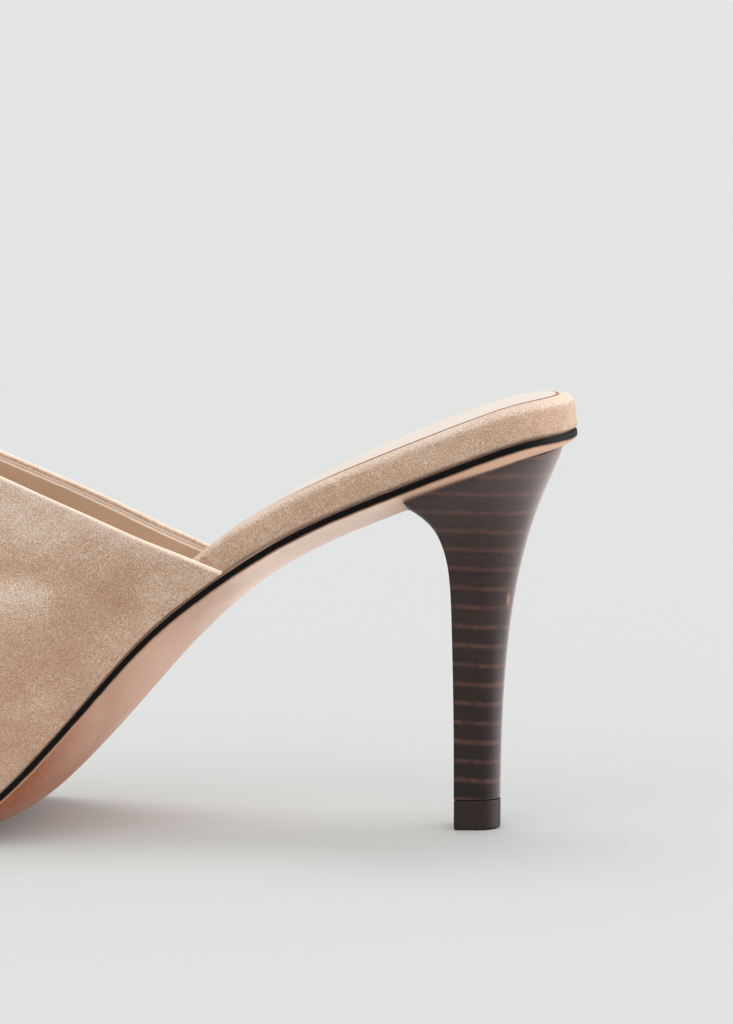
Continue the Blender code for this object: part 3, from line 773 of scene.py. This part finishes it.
def stackedMaterial(name, waxed):
    made, tree, shader = newMaterial(name)
    place = objectPlace(tree)
    axes = axesOf(tree, place)
    joint = jointLines(tree, place, axes)
    streaks = noiseOf(tree, stretched(tree, place, (0.10, 0.10, 1.0)), 1900.0, 3.0, 0.6, 0.3)
    layers = noiseOf(tree, stretched(tree, place, (0.06, 0.06, 1.0)), 260.0, 2.0)
    specks = noiseOf(tree, place, 2200.0, 2.0, 0.6)
    tone = between(tree, streaks, 0.3, 0.7, 0.0, 0.40)
    tone = maths(tree, "ADD", tone, between(tree, layers, 0.3, 0.7, 0.0, 0.25))
    tone = maths(tree, "ADD", tone, between(tree, specks, 0.3, 0.7, -0.10, 0.45))
    stack = mixed(tree, tone, heelPiece["dark"], heelPiece["brown"])
    # painted shade, darker towards the floor
    low = between(tree, axes["Z"], *heelPiece["lowShadeHeights"], 0.85, 0.0)
    stack = mixed(tree, low, stack, heelPiece["low"])
    colour = mixed(tree, joint, stack, heelPiece["pale"])
    colour = mixed(tree, spotAt(tree, place, *heelPiece["nick"]), colour, heelPiece["nickColour"])
    shader.inputs["Specular IOR Level"].default_value = heelPiece["waxed"] if waxed else heelPiece["matt"]
    if waxed:
        sheenFrom(shader, heelPiece)
    grain = bumpOf(tree, joint, -0.4, 0.00008, bumpOf(tree, streaks, 0.35, 0.00005))
    connect(tree, shader, colour=colour, normal=grain, rough=between(tree, streaks, 0.3, 0.7, 0.42, 0.54))
    return made


def makeHeel():
    heel = copyOfSolid("heel", "stacked_heel")
    block = bmesh.new()
    block.from_mesh(heel.data)
    seat = mostUpward(faceRegions(block, math.radians(35)))
    low, high = heelPiece["backFrom"], heelPiece["backTo"]
    for vertex in {v for f in seat for v in f.verts}:    # the glued seat meets the sole, most at the back
        back = clamped((vertex.co.x - low) / (high - low))
        vertex.co.z += heelPiece["seatLift"] + heelPiece["backLift"] * back
    for face in block.faces:
        face.material_index = 1 if face.normal.x < heelPiece["breastFacing"] else 0
    block.to_mesh(heel.data)
    block.free()
    heel.data.materials.append(stackedMaterial("stacked_leather_dark", True))
    heel.data.materials.append(stackedMaterial("stacked_leather_breast", False))
    smoothFurther(heel, heelPiece["levels"], heelPiece["edgeRadius"], heelPiece["edgeAngle"])
    finishPiece(heel, "stacked_leather", "heel")


liftPiece = {"edgeRadius": 0.00022, "edgeAngle": 30, "levels": 2, "specular": 0.26,
             "brown": (0.0150, 0.0078, 0.0068), "brownPale": (0.0230, 0.0128, 0.0112)}


def makeTopLift():
    lift = copyOfSolid("top_lift", "heel_top_lift")
    made, tree, shader = newMaterial("top_lift_brown")
    place = objectPlace(tree)
    cloud = noiseOf(tree, place, 220.0, 3.0)
    fine = noiseOf(tree, place, 2600.0, 2.0)
    colour = mixed(tree, between(tree, cloud, 0.3, 0.7), liftPiece["brown"], liftPiece["brownPale"])
    shader.inputs["Specular IOR Level"].default_value = liftPiece["specular"]
    connect(tree, shader, colour=colour, normal=bumpOf(tree, fine, 0.3, 0.00004),
            rough=between(tree, cloud, 0.3, 0.7, 0.48, 0.6))
    lift.data.materials.append(made)
    smoothFurther(lift, liftPiece["levels"], liftPiece["edgeRadius"], liftPiece["edgeAngle"])
    finishPiece(lift, "top_lift_rubber", "top_lift")


makeHeel()
makeTopLift()
print("heel made")


# floor, light and camera
stagePiece = {"size": 60.0, "colour": (0.529, 0.538, 0.534), "dark": 0.992,
              "roughness": 0.85, "specular": 0.2}
lightPiece = {
    "sky": (0.984, 1.0, 0.992, 1.0), "skyStrength": 0.788,
    "lamps": [    # name, towards the lamp, strength, spread in degrees, throws a shadow
        ("overhead", (0.0, 0.32, 0.95), 0.95, 42, True),
        ("front", (-0.15, -0.86, 0.48), 1.05, 80, True),
        ("rim", (0.91, 0.28, 0.20), 2.80, 40, False),
    ],
}
cameraPiece = {"target": (0.0619, 0.0006, 0.0689), "towards": (0.0746, -0.9926, 0.0958), "distance": 1.0,
               "lens": 161.7, "sensor": 36.0, "clip": (0.01, 200.0)}


def makeFloor():
    deselectAll()
    bpy.ops.mesh.primitive_plane_add(size=stagePiece["size"], location=(0.0, 0.0, 0.0))
    floor = bpy.context.object
    floor.name = "floor"
    bpy.ops.object.mode_set(mode="EDIT")
    bpy.ops.mesh.subdivide(number_cuts=3)
    bpy.ops.object.mode_set(mode="OBJECT")
    made, tree, shader = newMaterial("floor_pale")
    cloud = noiseOf(tree, objectPlace(tree), 3.0, 2.0)
    dark = tuple(c * stagePiece["dark"] for c in stagePiece["colour"])
    connect(tree, shader, colour=mixed(tree, cloud, stagePiece["colour"], dark))
    shader.inputs["Roughness"].default_value = stagePiece["roughness"]
    shader.inputs["Specular IOR Level"].default_value = stagePiece["specular"]
    floor.data.materials.append(made)


def makeLights():
    world = bpy.data.worlds.new("studio")
    world.use_nodes = True
    sky = world.node_tree.nodes["Background"]
    sky.inputs["Color"].default_value = lightPiece["sky"]
    sky.inputs["Strength"].default_value = lightPiece["skyStrength"]
    scene.world = world
    for name, towards, strength, spread, shadow in lightPiece["lamps"]:
        data = bpy.data.lights.new(name, "SUN")
        data.energy = strength
        data.angle = math.radians(spread)
        data.use_shadow = shadow
        lamp = bpy.data.objects.new(name, data)
        lamp.rotation_euler = Vector(towards).to_track_quat("Z", "Y").to_euler()
        scene.collection.objects.link(lamp)


def makeCamera():
    data = bpy.data.cameras.new("camera")
    data.lens = cameraPiece["lens"]
    data.sensor_width = cameraPiece["sensor"]
    data.clip_start, data.clip_end = cameraPiece["clip"]
    towards = Vector(cameraPiece["towards"]).normalized()
    camera = bpy.data.objects.new("camera", data)
    camera.location = Vector(cameraPiece["target"]) + towards * cameraPiece["distance"]
    camera.rotation_euler = towards.to_track_quat("Z", "Y").to_euler()
    scene.collection.objects.link(camera)
    scene.camera = camera


makeFloor()
makeLights()
makeCamera()
scene.view_settings.view_transform = "Standard"
print("stage made")
